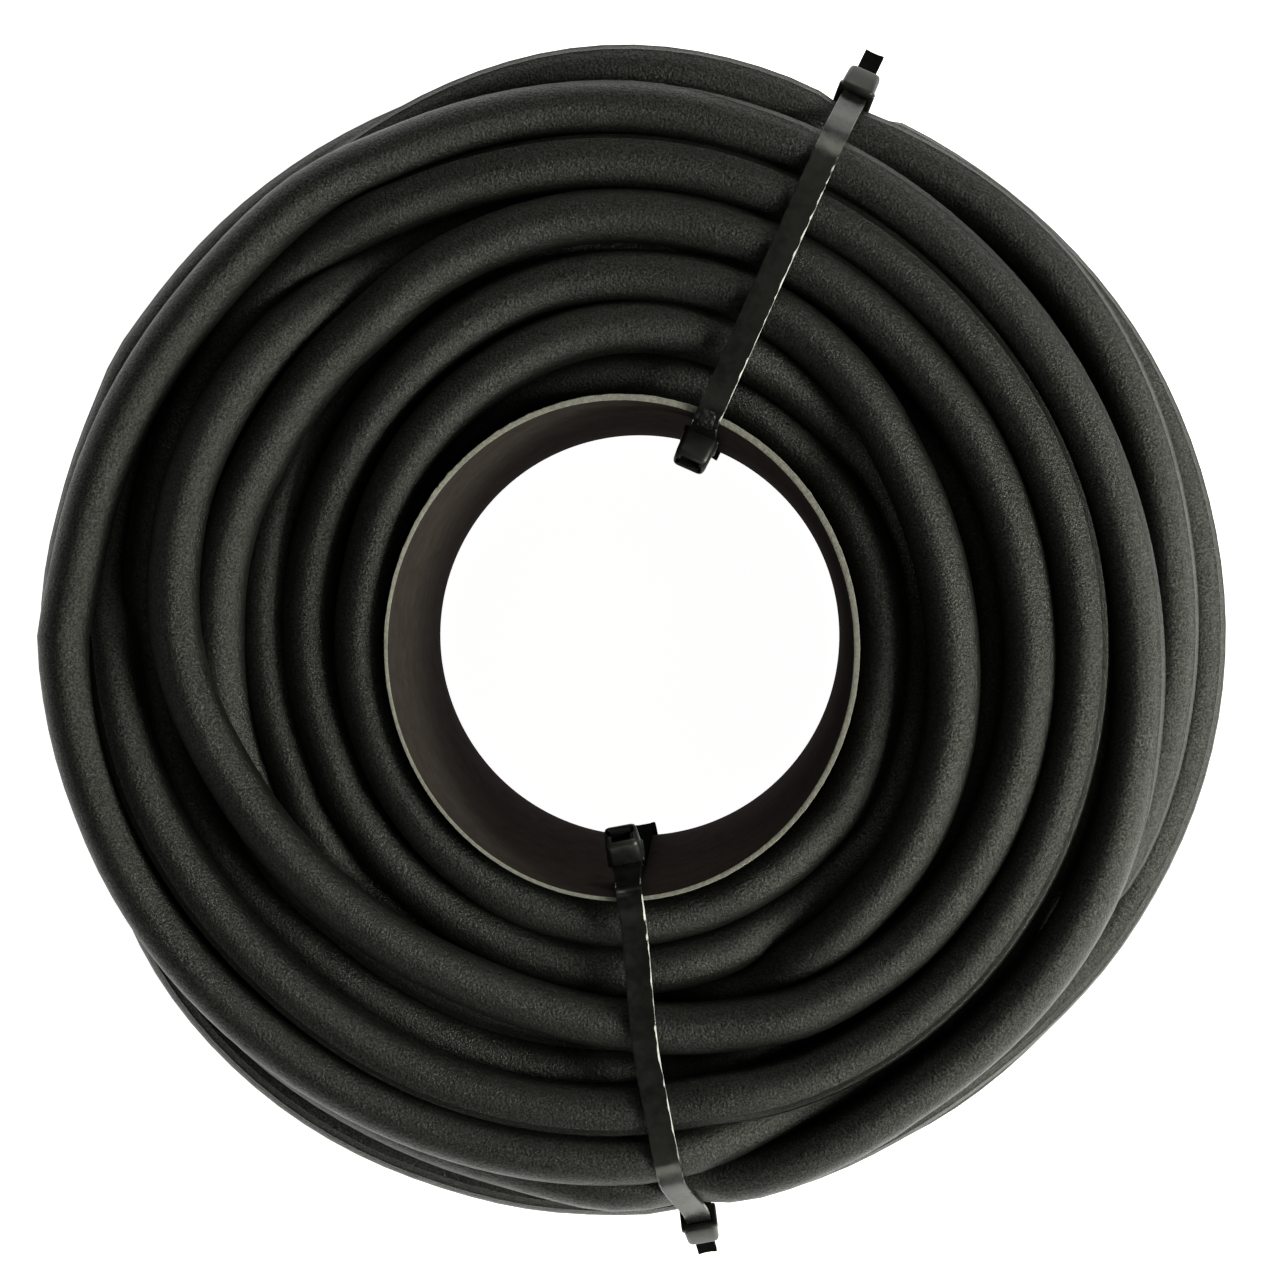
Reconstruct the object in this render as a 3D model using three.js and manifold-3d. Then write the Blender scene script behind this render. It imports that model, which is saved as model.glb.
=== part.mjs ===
// A coil of porous rubber soaker hose, wound on a short grey plastic tube and held by two loops of
// cable tie. Each loop is two ties joined end to end: the front tie lies over the top of the coil
// and its head hangs inside the tube, the back tie passes under the coil and its head sits on the
// coil's outer shoulder. The coil lies flat: +Z is up along the tube, z = 0 is the ground.
// Millimetres.

import * as THREE from 'three';
import { mergeVertices } from 'three/addons/utils/BufferGeometryUtils.js';
import Module from 'manifold-3d';

const wasm = await Module();
wasm.setup();

// ---------------------------------------------------------------- driving dimensions

const GAP = 0.3; // clearance between neighbouring pieces

const HOSE_RADIUS = 8; // 16 mm hose
const HOSE_BORE_RADIUS = 6;

const AXIS_Y = 4.74; // the tube's axis, so that the origin is under the middle of the whole part

const CORE_RADIUS = 75; // outside of the tube
const CORE_WALL = 1.5;
const CORE_BOTTOM = 3.6; // the back ties pass under the tube
const CORE_TOP = 130;
const OVAL = { x: 0.968, y: 1.031 }; // the ties pull the tube's top end out of round

const COIL_TOP = 129.7;
const SEGMENTS = 72; // facets round the tube and the coil

const STRAP = { width: 8, thickness: 1.6, tipWidth: 6.2 };
const STATION = 3; // spacing of the points along a strap
const HEAD = { width: 11.8, depth: 10.4, far: 3.4, root: 6.6, bevel: 0.8 };
const SLOT = { width: 8.7, height: 2.3 };
const CAVITY = { width: 6.0, height: 3.9, depth: 9.4 }; // the pawl's room beside the slot
const BOW = { rise: [72, 130], fall: [164, 183], above: 104 }; // where a front strap runs off to a side
const TOOTH = { pitch: 1.2, depth: 0.45, reach: 13 }; // teeth on the stretch that a head grips

// The two tie loops. Each lies in an upright plane: angle is the way the plane runs outwards,
// offset how far it passes from the tube's axis. Points are [distance outwards, height].
// inner is the front tie's head, in the tube; outer is the back tie's head, on the coil's edge.
// tilt is how far a head's slot points up (inner) or down (outer), in degrees.
// bow is how far the front strap lies to one side on its way over the coil.
const LOOPS = [
  {
    name: 'upper',
    angle: 65.9,
    offset: 4.4,
    inner: { at: [63.8, 117.4], tilt: 29 },
    outer: { at: [189, 108.5], tilt: 33 },
    stub: 9.8,
    bow: 0,
    over: [[72.1, 124.4], [72.8, 127.6], [73, 129.9], [74.2, 131.5], [77.5, 131.9], [84, 131.4],
      [110, 131.2], [135, 131.2], [152, 131.2], [160, 130.6], [167, 127.4], [173.5, 122],
      [179, 116.4]],
    under: [[181.3, 101.6], [182.3, 97.8], [184.2, 91.5], [186.4, 82], [187.6, 71], [187.8, 58],
      [186.6, 45], [183.4, 32], [177.4, 18.5], [168.5, 8.2], [158, 3], [147, 1.3], [120, 1.2],
      [95, 1.2], [79, 1.2], [73.2, 1.2], [71, 3.4], [70.6, 8], [70.9, 30], [71.5, 70],
      [71.9, 98], [71.9, 106], [71.6, 109.6], [70.9, 112.4]],
  },
  {
    name: 'lower',
    angle: -79.2,
    offset: -11.4,
    inner: { at: [59.5, 117.4], tilt: 42 },
    outer: { at: [189, 101], tilt: 42 },
    stub: 9.3,
    bow: -4.2,
    over: [[68.7, 121.6], [70.9, 125.2], [72, 128.5], [72.45, 130.3], [73.9, 131.6], [77, 131.9],
      [84, 131.4], [110, 131.2], [135, 131.2], [150, 131.1], [158, 130.3], [165, 126.4],
      [171.5, 119.9], [178, 112.6]],
    under: [[179.7, 96.4], [179.2, 93.2], [180, 87.8], [182, 78], [183.2, 66], [183, 54],
      [181.4, 42], [178, 30], [171.5, 17.6], [162.5, 8], [152, 3], [141, 1.3], [115, 1.2],
      [92, 1.2], [77, 1.2], [71.8, 1.4], [69.7, 3.4], [69.3, 8], [69.5, 30], [70.3, 70],
      [70.9, 96], [70.6, 101.5], [69.6, 106], [67.6, 109.9]],
  },
];

// The hose's two cut ends, each in its own groove at the foot of the coil. The hose is wound
// clockwise seen from above. from and to are azimuths in degrees, radii in mm to the hose's centre.
const HOSE_ENDS = [
  { name: 'hose_outer_end', from: 205, to: 163, fromRadius: 170, toRadius: 181, open: -13 },
  { name: 'hose_inner_end', from: 122, to: 170, fromRadius: 84, toRadius: 84, open: 20 },
];
const HOSE_END_HEIGHT = HOSE_RADIUS + 0.2;
const HOSE_SIDES = 12;

const RUBBER = { color: 0x2b2c29, roughness: 0.85, metalness: 0 };
const GREY_PLASTIC = { color: 0x6b6661, roughness: 0.6, metalness: 0 };
const NYLON = { color: 0x121212, roughness: 0.35, metalness: 0 };

// ---------------------------------------------------------------- helpers

const radians = THREE.MathUtils.degToRad;

function toManifold(geometry) {
  const bare = geometry.clone();
  bare.deleteAttribute('normal');
  bare.deleteAttribute('uv');
  const merged = mergeVertices(bare, 1e-4);
  return new wasm.Manifold(
    new wasm.Mesh({
      numProp: 3,
      vertProperties: new Float32Array(merged.attributes.position.array),
      triVerts: new Uint32Array(merged.index.array),
    }),
  );
}

function piece(name, manifold, colour) {
  const { vertProperties, triVerts } = manifold.getMesh();
  const geometry = new THREE.BufferGeometry();
  geometry.setAttribute('position', new THREE.BufferAttribute(new Float32Array(vertProperties), 3));
  geometry.setIndex(new THREE.BufferAttribute(new Uint32Array(triVerts), 1));
  const mesh = new THREE.Mesh(geometry, new THREE.MeshStandardMaterial(colour));
  mesh.name = name;
  return mesh;
}

// A profile of [radius, height] pairs turned round the Z axis. One that doesn't start and end on
// the axis is closed on itself.
function revolve(profile) {
  const onAxis = profile[0][0] === 0;
  const points = (onAxis ? profile : [...profile, profile[0]])
    .map(([r, z]) => new THREE.Vector2(r, z));
  return new THREE.LatheGeometry(points, SEGMENTS).rotateX(Math.PI / 2);
}

// Stretches a shape centred on the Z axis into the tube's oval, which grows towards the top.
function ovalise(geometry) {
  const position = geometry.attributes.position;
  for (let i = 0; i < position.count; i += 1) {
    const t = THREE.MathUtils.clamp(position.getZ(i) / CORE_TOP, 0, 1);
    position.setX(i, position.getX(i) * (1 + (OVAL.x - 1) * t));
    position.setY(i, position.getY(i) * (1 + (OVAL.y - 1) * t));
  }
  return geometry;
}

// A closed outline of [x, z] pairs in the XZ plane, given its width in Y, centred on y = 0.
function slab(outline, width, bevel = 0) {
  const shape = new THREE.Shape(outline.map(([x, z]) => new THREE.Vector2(x, z)));
  const geometry = new THREE.ExtrudeGeometry(shape, {
    depth: width - 2 * bevel,
    bevelEnabled: bevel > 0,
    bevelThickness: bevel,
    bevelSize: bevel,
    bevelOffset: -bevel,
    bevelSegments: 2,
  });
  return toManifold(geometry.translate(0, 0, bevel - width / 2).rotateX(Math.PI / 2));
}

// ---------------------------------------------------------------- the tube

function coreTube() {
  const inner = CORE_RADIUS - CORE_WALL;
  const wall = [[inner, CORE_BOTTOM], [CORE_RADIUS, CORE_BOTTOM], [CORE_RADIUS, CORE_TOP],
    [inner, CORE_TOP]];
  return toManifold(ovalise(revolve(wall)));
}

// ---------------------------------------------------------------- the ties

// A tie head's place in its loop's plane. along follows the slot, the way the other tie's tail
// goes through; up points from the slot to the head's own strap.
function headFrame({ at, tilt }, outwards) {
  const c = Math.cos(radians(tilt));
  const s = Math.sin(radians(tilt));
  const slot = outwards ? [c, -s] : [-c, s];
  const root = outwards ? [-s, -c] : [s, c];
  return (along, up) => [
    at[0] + slot[0] * along + root[0] * up,
    at[1] + slot[1] * along + root[1] * up,
  ];
}

// The middle line of a tie's strap, from inside its own head to the cut tip of its tail.
function strapLine(own, other, between, tail) {
  const half = HEAD.depth / 2;
  const rootAt = STRAP.thickness / 2 - half;
  const points = [own(rootAt, HEAD.root - 2), own(rootAt, HEAD.root + 0.4), ...between,
    other(-half - 1.2, 0), other(-half, 0), other(0, 0), other(half, 0), other(half + tail, 0)];
  const line = new THREE.CatmullRomCurve3(
    points.map(([x, z]) => new THREE.Vector3(x, 0, z)),
    false,
    'centripetal',
  );
  line.arcLengthDivisions = 1500;
  return line;
}

// The strap's two faces, half its thickness to each side of its middle line: back is the smooth
// outer face, front the one towards the coil, toothed where it runs through the other tie's head.
function strapFaces(line, tail) {
  const length = line.getLength();
  const gripped = length - tail - HEAD.depth / 2;
  const half = STRAP.thickness / 2;
  const faces = { back: [], front: [] };
  const stations = [];
  for (let s = 0; s < length;) {
    const toothed = Math.abs(s - gripped) < TOOTH.reach;
    stations.push([s, toothed && stations.length % 2 === 1]);
    s += toothed ? TOOTH.pitch / 2 : STATION;
  }
  stations[stations.length - 1] = [length, false];
  for (const [s, notched] of stations) {
    const point = line.getPointAt(s / length);
    const { x, z } = line.getTangentAt(s / length);
    const depth = notched ? half - TOOTH.depth : half;
    faces.back.push([point.x - z * half, point.z + x * half]);
    faces.front.push([point.x + z * depth, point.z - x * depth]);
  }
  return faces;
}

// A tail narrows towards its tip, so what sticks out of the head is narrower than the strap.
function strap(line, tail, head) {
  const { back, front } = strapFaces(line, tail);
  const from = HEAD.depth / 2 - 1;
  const beside = [[from, -3], [from + 30, -3], [from + 30, 3], [from, 3]]
    .map(([along, up]) => head(along, up));
  const cut = slab(beside, 4);
  const side = STRAP.tipWidth / 2 + 2;
  return slab([...front, ...back.reverse()], STRAP.width)
    .subtract(cut.translate([0, side, 0]))
    .subtract(cut.translate([0, -side, 0]));
}

// Moves what lies over the coil sideways, and leaves it in place at both heads.
function bowed(manifold, bow) {
  if (bow === 0) return manifold;
  return manifold.refineToLength(4).warp((point) => {
    const { smoothstep } = THREE.MathUtils;
    const share = smoothstep(point[0], ...BOW.rise) * (1 - smoothstep(point[0], ...BOW.fall));
    if (point[2] > BOW.above) point[1] += bow * share;
  });
}

function headBlock(place) {
  const half = HEAD.depth / 2;
  const round = 1.3;
  const box = [[-half, -HEAD.far], [half - round, -HEAD.far], [half, round - HEAD.far],
    [half, HEAD.root - round], [half - round, HEAD.root], [-half, HEAD.root]];
  const slot = SLOT.height / 2;
  const through = [[-half - 2, -slot], [half + 2, -slot], [half + 2, slot], [-half - 2, slot]];
  const end = half - CAVITY.depth;
  const room = [[end, 0], [half + 2, 0], [half + 2, CAVITY.height], [end, CAVITY.height]];
  const cut = (outline, width) => slab(outline.map(([along, up]) => place(along, up)), width);
  return slab(box.map(([along, up]) => place(along, up)), HEAD.width, HEAD.bevel)
    .subtract(cut(through, SLOT.width))
    .subtract(cut(room, CAVITY.width));
}

// The toothed tongue beside the slot. It is hinged at the slot's way in and bears on the tail.
function pawlBlock(place) {
  const root = HEAD.depth / 2 - CAVITY.depth + GAP;
  const top = CAVITY.height - GAP;
  const bite = STRAP.thickness / 2 + GAP;
  const outline = [[root, top], [root, bite + 1], [root + 1.5, bite + 0.6], [root + 2.2, bite + 0.15],
    [root + 3, bite + 0.55], [root + 3.4, bite + 0.05], [root + 4.2, bite + 0.5],
    [root + 4.6, bite], [root + 6.6, bite], [root + 7, bite + 0.7], [root + 4.4, bite + 1.4],
    [root + 1.6, top]];
  return slab(outline.map(([along, up]) => place(along, up)), CAVITY.width - 2 * GAP);
}

// The room that a loop takes in the coil: all that lies outside its two straps' inner faces,
// a strap's width wide, and the outer head. It is turned to where the loop stands.
function loopRoom(loop, front, back, head) {
  const shrink = ([x, z]) => {
    const inwards = new THREE.Vector2(130 - x, 66 - z).normalize().multiplyScalar(GAP * 1.4);
    return [x + inwards.x, z + inwards.y];
  };
  const inside = [...strapFaces(front, loop.stub).front.filter(([x]) => x < loop.outer.at[0] - 9),
    ...strapFaces(back, 0.5).front.slice(1)].map(shrink);
  const field = slab([[65, -10], [215, -10], [215, 150], [65, 150]], STRAP.width + 2 * GAP);
  const half = HEAD.depth / 2 + GAP;
  const block = slab([[-half, -HEAD.far - GAP], [half, -HEAD.far - GAP], [half, HEAD.root + GAP],
    [-half, HEAD.root + GAP]].map(([along, up]) => head(along, up)), HEAD.width + 2 * GAP);
  return bowed(field.subtract(slab(inside, STRAP.width + 4)), loop.bow)
    .add(block)
    .translate([0, loop.offset, 0])
    .rotate([0, 0, loop.angle]);
}

// ---------------------------------------------------------------- the hose

// The way that one end of the hose lies, from `before` degrees ahead of its start to `past`
// degrees beyond its cut face.
function hoseEndPath(end, before = 0, past = 0) {
  const steps = 12;
  const start = end.from + before;
  const span = end.to + past - start;
  const points = Array.from({ length: steps + 1 }, (_, i) => {
    const azimuth = start + (span * i) / steps;
    const t = (azimuth - end.from) / (end.to - end.from);
    const radius = end.fromRadius + (end.toRadius - end.fromRadius) * t * Math.abs(t);
    const a = radians(azimuth);
    return new THREE.Vector3(radius * Math.cos(a), radius * Math.sin(a), HOSE_END_HEIGHT);
  });
  return new THREE.CatmullRomCurve3(points);
}

function sweep(path, radius, bore = 0) {
  const ring = (r) => Array.from({ length: HOSE_SIDES }, (_, i) => {
    const a = (2 * Math.PI * i) / HOSE_SIDES;
    return new THREE.Vector2(r * Math.cos(a), r * Math.sin(a));
  });
  const section = new THREE.Shape(ring(radius));
  if (bore > 0) section.holes.push(new THREE.Path(ring(bore)));
  return toManifold(new THREE.ExtrudeGeometry(section, { steps: 12, extrudePath: path }));
}

// The outer shape of all the turns together, with room for the tube, the ties and the two ends.
function hoseCoil(rooms) {
  const outline = [[60, 0], [156, 0], [165, 1.6], [174, 7.5], [182, 19], [187, 34], [189.6, 50],
    [190, 66], [189, 84], [185.5, 99], [178, 113], [169, 122.5], [158, 128.2], [146, COIL_TOP],
    [104, COIL_TOP], [95, 127], [87, 121], [80, 116.5], [60, 116.5]];
  const plug = CORE_RADIUS + GAP;
  const hole = revolve([[0, -5], [plug, -5], [plug, 0], [plug, CORE_TOP], [plug, CORE_TOP + 5],
    [0, CORE_TOP + 5]]);
  let coil = toManifold(revolve(outline)).subtract(toManifold(ovalise(hole)));
  for (const end of HOSE_ENDS) {
    const gapAngle = THREE.MathUtils.radToDeg(GAP / end.fromRadius);
    const groove = hoseEndPath(end, Math.sign(end.from - end.to) * gapAngle, end.open);
    coil = coil.subtract(sweep(groove, HOSE_RADIUS + GAP * 1.4));
  }
  for (const room of rooms) coil = coil.subtract(room);
  return coil;
}

// ---------------------------------------------------------------- assembly

const part = new THREE.Group();
part.position.y = AXIS_Y;

const rooms = [];
for (const loop of LOOPS) {
  const inner = headFrame(loop.inner, false);
  const outer = headFrame(loop.outer, true);
  const front = strapLine(inner, outer, loop.over, loop.stub);
  const back = strapLine(outer, inner, loop.under, 0.5);
  const plane = new THREE.Group();
  plane.rotation.z = radians(loop.angle);
  plane.position.set(
    -Math.sin(radians(loop.angle)) * loop.offset,
    Math.cos(radians(loop.angle)) * loop.offset,
    0,
  );
  plane.add(
    piece(`${loop.name}_front_tie`,
      headBlock(inner).add(bowed(strap(front, loop.stub, outer), loop.bow)), NYLON),
    piece(`${loop.name}_front_pawl`, pawlBlock(inner), NYLON),
    piece(`${loop.name}_back_tie`, headBlock(outer).add(strap(back, 0.5, inner)), NYLON),
    piece(`${loop.name}_back_pawl`, pawlBlock(outer), NYLON),
  );
  part.add(plane);
  rooms.push(loopRoom(loop, front, back, outer));
}

part.add(piece('core_tube', coreTube(), GREY_PLASTIC));
part.add(piece('hose_coil', hoseCoil(rooms), RUBBER));
for (const end of HOSE_ENDS) {
  part.add(piece(end.name, sweep(hoseEndPath(end), HOSE_RADIUS, HOSE_BORE_RADIUS), RUBBER));
}

export default part;
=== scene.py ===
"""A coil of porous soaker hose on a plastic core tube, bound by two loops of joined cable ties.

The hose is one piece about 44 m long: its turns are laid along a route, and those that lie in each
other are pressed apart. Work is in millimetres about the core's axis, and MM turns it into metres.
"""

import math

import bmesh
import bpy
import numpy as np
from mathutils import Matrix, Vector


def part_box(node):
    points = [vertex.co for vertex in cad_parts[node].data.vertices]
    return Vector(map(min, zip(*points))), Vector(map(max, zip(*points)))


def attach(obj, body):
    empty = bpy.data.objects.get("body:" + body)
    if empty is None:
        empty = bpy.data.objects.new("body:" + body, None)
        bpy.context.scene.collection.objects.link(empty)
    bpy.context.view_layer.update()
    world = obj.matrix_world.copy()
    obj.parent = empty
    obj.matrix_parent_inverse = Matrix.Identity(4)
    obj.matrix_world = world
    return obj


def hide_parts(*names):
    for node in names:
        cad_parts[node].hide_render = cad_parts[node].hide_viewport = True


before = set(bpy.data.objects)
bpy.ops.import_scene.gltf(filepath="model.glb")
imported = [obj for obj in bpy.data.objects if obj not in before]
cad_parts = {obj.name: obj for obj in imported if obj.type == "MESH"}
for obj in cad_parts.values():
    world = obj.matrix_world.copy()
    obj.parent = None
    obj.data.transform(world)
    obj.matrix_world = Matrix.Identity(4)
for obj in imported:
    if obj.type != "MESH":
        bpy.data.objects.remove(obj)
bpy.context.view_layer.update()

MM = 0.001
RNG = np.random.default_rng(7)

# ---------------------------------------------------------------- places taken from the frame

core_low, core_high = (np.array(corner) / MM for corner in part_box("core_tube"))
AXIS = np.array([0.0, (core_low[1] + core_high[1]) / 2, 0.0])
CORE_BOTTOM, CORE_TOP = core_low[2], core_high[2]

# ---------------------------------------------------------------- driving dimensions, mm

HOSE = 16.0  # diameter
HOSE_BORE = 12.0
CORE_RADIUS = 75.0
CORE_WALL = 1.5
CORE_UNEVEN = 0.45  # the wall is this much thicker on one side and thinner on the other
CORE_OVAL = (0.968, 1.031)  # what the ties make of the core's x and y radii at its top
TOP_LAYER = 122.0  # height of the middle of the top turns

STRAP_WIDTH, STRAP_THICKNESS, TAIL_WIDTH = 8.0, 1.6, 6.2
HEAD_DEPTH, HEAD_WIDTH, HEAD_FAR, HEAD_ROOT = 10.4, 11.8, 3.4, 6.6
SLOT_WIDTH, SLOT_HEIGHT = 8.7, 2.3
CAVITY_WIDTH, CAVITY_HEIGHT, CAVITY_DEPTH = 6.0, 3.9, 9.4
TOOTH_PITCH, TOOTH_DEPTH = 1.2, 0.4
GATE = (73.3, 130.5)  # the mould's gate mark on the upper front strap: distance outwards, height
GATE_LENGTH, GATE_WIDTH = 8, 5.2
GATE_STEP = 0.4  # between the points of its rough face

# The tie loops, as in the CAD source: each lies in an upright plane that runs outwards at angle and
# passes offset from the axis. Points are (distance outwards, height).
LOOPS = {
    "upper": {
        "angle": 65.9, "offset": 4.4, "stub": 9.8, "bow": 0,
        "inner": ((63.8, 117.4), 29), "outer": ((189, 108.5), 33),
        "over": [(72.1, 124.4), (72.8, 127.6), (73, 129.9), (74.2, 131.5), (77.5, 131.9), (84, 131.4),
                 (110, 131.2), (135, 131.2), (152, 131.2), (160, 130.6), (167, 127.4), (173.5, 122),
                 (179, 116.4)],
        "under": [(181.3, 101.6), (182.3, 97.8), (184.2, 91.5), (186.4, 82), (187.6, 71), (187.8, 58),
                  (186.6, 45), (183.4, 32), (177.4, 18.5), (168.5, 8.2), (158, 3), (147, 1.3),
                  (120, 1.2), (95, 1.2), (79, 1.2), (73.2, 1.2), (71, 3.4), (70.6, 8), (70.9, 30),
                  (71.5, 70), (71.9, 98), (71.9, 106), (71.6, 109.6), (70.9, 112.4)],
    },
    "lower": {
        "angle": -79.2, "offset": -11.4, "stub": 9.3, "bow": -4.2,
        "inner": ((59.5, 117.4), 42), "outer": ((189, 101), 42),
        "over": [(68.7, 121.6), (70.9, 125.2), (72, 128.5), (72.45, 130.3), (73.9, 131.6), (77, 131.9),
                 (84, 131.4), (110, 131.2), (135, 131.2), (150, 131.1), (158, 130.3), (165, 126.4),
                 (171.5, 119.9), (178, 112.6)],
        "under": [(179.7, 96.4), (179.2, 93.2), (180, 87.8), (182, 78), (183.2, 66), (183, 54),
                  (181.4, 42), (178, 30), (171.5, 17.6), (162.5, 8), (152, 3), (141, 1.3), (115, 1.2),
                  (92, 1.2), (77, 1.2), (71.8, 1.4), (69.7, 3.4), (69.3, 8), (69.5, 30), (70.3, 70),
                  (70.9, 96), (70.6, 101.5), (69.6, 106), (67.6, 109.9)],
    },
}

# A front strap may run off to a side of its loop's plane by the loop's bow. It leaves the plane and
# comes back to it between these distances outwards, and only above this height.
BOW_RISE = (72, 130)
BOW_FALL = (164, 183)
BOW_ABOVE = 104

# The hose's turns on top of the coil, (azimuth in degrees, radius, depth below the top layer) along
# the hose, which runs clockwise seen from above. The first run comes up the core and works outwards.
FIRST_RUN = [
    (117, 84, 17), (103, 85, 15), (88, 86, 14), (59, 85, 14), (21, 82, 13), (-13, 81, 12), (-42, 85, 9),
    (-60, 87, 8), (-93, 88, 6), (-129, 83, 4), (-160, 81.4, 3), (163, 82.5, 2), (140, 87.5, 2),
    (117, 93, 2), (95, 98.5, 2), (73, 100, 3), (59, 98.5, 6), (40, 96.5, 11), (21, 94, 18),
    (0, 93.5, 23), (-28, 95.5, 15), (-43, 96.5, 12), (-58, 97.5, 9.5), (-85, 99.5, 7), (-119, 100, 8),
    (-160, 98.5, 8), (170, 100, 8), (148, 103, 7), (118, 110, 3), (103, 114, 3), (88, 115, 2),
    (73, 114, 1), (59, 110, 0), (44, 105, 0), (30, 102, 0), (16, 100.5, 0), (1, 101, 0),
    (-18, 104.5, 0), (-38, 108.5, 0), (-50, 110, 2), (-65, 110.5, 8), (-83, 110, 14), (-129, 113, 14),
    (-145, 113.5, 12), (-160, 114, 11), (180, 114.8, 11), (170, 115.5, 11.5), (158, 118, 12.5),
    (145, 121, 14), (128, 124, 15), (-68, 131, 14), (-80, 133, 13.5), (-89, 135, 12.5), (-109, 136, 12),
    (-129, 137.2, 12), (-140, 139, 12), (-150, 142.5, 12), (-171, 150, 12.5), (149, 158.5, 13),
    (134, 156.5, 8), (118, 152.5, 2), (103, 150, 0), (88, 149, 0), (74, 147, 0), (45, 142.5, 0),
    (16, 140.5, 0), (-13, 141, 0), (-43, 144, 0), (-73, 145.5, 0), (-104, 145.5, 0), (-135, 148.5, 0),
    (-150, 152, 0), (-165, 156.5, 2), (-181, 160, 6), (-196, 163.5, 14), (124, 172, 16),
    (109, 176, 14), (97, 179.5, 12), (86, 179.5, 12), (76, 176.5, 13), (67, 173.5, 14),
    (59, 174.5, 13), (50, 176.5, 12), (40, 176.8, 12), (25, 174, 12), (10, 171, 13), (-9, 170, 14),
    (-29, 168, 14),
]
# The second run comes up in the middle of the coil, crosses over the first and ends on the shoulder.
SECOND_RUN = [
    (203, 123.5, 12), (185, 126, 6), (169, 127, 3), (145, 126.5, 2), (128, 127.5, 1), (113, 130.5, 0),
    (95, 133, 0), (74, 131, 0), (44, 125.5, 0), (10, 124, 0), (-28, 126.5, 0), (-50, 127.5, 0),
    (-73, 122, 0), (-95, 115.5, 0), (-115, 113, -2), (-134, 116.5, -4), (-150, 122, -5), (-166, 129, -5),
    (179, 137, -5), (165, 142.5, -4), (150, 144, -3), (140, 143.5, 0), (130, 143, 4.5), (119, 142.5, 9.5),
    (108, 142, 14), (-59, 154.5, 12), (-74, 157, 6), (-89, 158.5, 0), (-119, 162.5, 0), (-135, 165.5, 0),
    (-155, 170.5, 0), (-175, 173, 0), (164, 171.5, 0), (145, 169, 0), (118, 167.5, 0), (89, 165.5, 0),
    (70, 160.5, 0), (50, 156.5, 0), (30, 155.5, 0), (5, 156.5, 0), (-15, 160, 0), (-30, 163.5, 0),
    (-58, 164.5, 2), (-85, 166, 9), (-119, 168.5, 14), (169, 181.5, 26), (140, 181, 27), (115, 179, 28),
    (74, 178.5, 28), (50, 180, 28), (30, 182.5, 28), (0, 183, 28), (-15, 180.8, 26), (-29, 177.5, 26),
    (-40, 174.7, 25), (-54, 172, 22), (-70, 173.8, 21), (-89, 175.5, 22), (-108, 178.5, 25),
    (-125, 181.5, 26.5), (-146, 181, 27.5), (-160, 176, 30), (170, 168, 32), (150, 165, 27),
    (130, 164.5, 22), (110, 165, 18), (79, 165.5, 15), (59, 163, 15), (40, 161.5, 16),
]

# The middle of an outermost turn at each height: how far out the bundle reaches.
BUNDLE_HEIGHTS = (8, 16, 24, 40, 66, 92, 106, 116, 124)
BUNDLE_RADII = (167, 173, 178, 181.5, 182, 180.5, 177, 172, 168)
BUNDLE_MIDDLE = np.array([130, 66])  # distance outwards and height of the middle of its section

# ---------------------------------------------------------------- camera, lights, floor

CAMERA_PLACE = (33.8, 24.0, 732.3)  # mm from the core's axis and the ground
CAMERA_AIM = (5.9, 2.7)  # what it points at, level with the core's rim
SENSOR, LENS = 36, 55.76

LIGHT_COLOUR = (0.98, 1, 0.84)
LIGHTS = {  # place, the point that it faces and size, in metres, and power in watts
    "key": ((1.5, -0.35, 0.95), (0, 0, 0.1), (0.9, 0.7), 48),
    "near": ((0.25, -1.5, 0.8), (0, 0, 0.1), (1.2, 0.6), 6.5),
    "far": ((0.35, 1.5, 0.8), (0, 0, 0.1), (1.2, 0.6), 6.5),
    "near panel": ((0.1, -0.98, 1.43), (0.1, -0.98, 0), (0.9, 0.93), 0.8),
    "far panel": ((0.2, 0.75, 1.43), (0.2, 0.75, 0), (0.9, 0.9), 0.8),
}
# The world's brightness at the sine of the height above the horizon.
SKY = ((0.0, 0.2), (0.3, 0.17), (0.55, 0.04), (0.9, 0.008))
FLOOR_SIZE = 30  # metres


def make_camera():
    data = bpy.data.cameras.new("camera")
    data.sensor_width = SENSOR
    data.lens = LENS
    camera = bpy.data.objects.new("camera", data)
    bpy.context.scene.collection.objects.link(camera)
    place = Vector(AXIS + CAMERA_PLACE) * MM
    aim = Vector(AXIS + (*CAMERA_AIM, CORE_TOP)) * MM
    back = (place - aim).normalized()
    right = Vector((0, 1, 0)).cross(back).normalized()
    turned = Matrix((right, back.cross(right), back)).transposed().to_4x4()
    camera.matrix_world = Matrix.Translation(place) @ turned
    bpy.context.scene.camera = camera


def area_light(name, place, aim, size, power):
    data = bpy.data.lights.new(name, "AREA")
    data.shape = "RECTANGLE"
    data.size, data.size_y = size
    data.energy = power
    data.color = LIGHT_COLOUR
    light = bpy.data.objects.new(name, data)
    light.location = place
    light.rotation_euler = (Vector(aim) - Vector(place)).to_track_quat("-Z", "Y").to_euler()
    bpy.context.scene.collection.objects.link(light)


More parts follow.
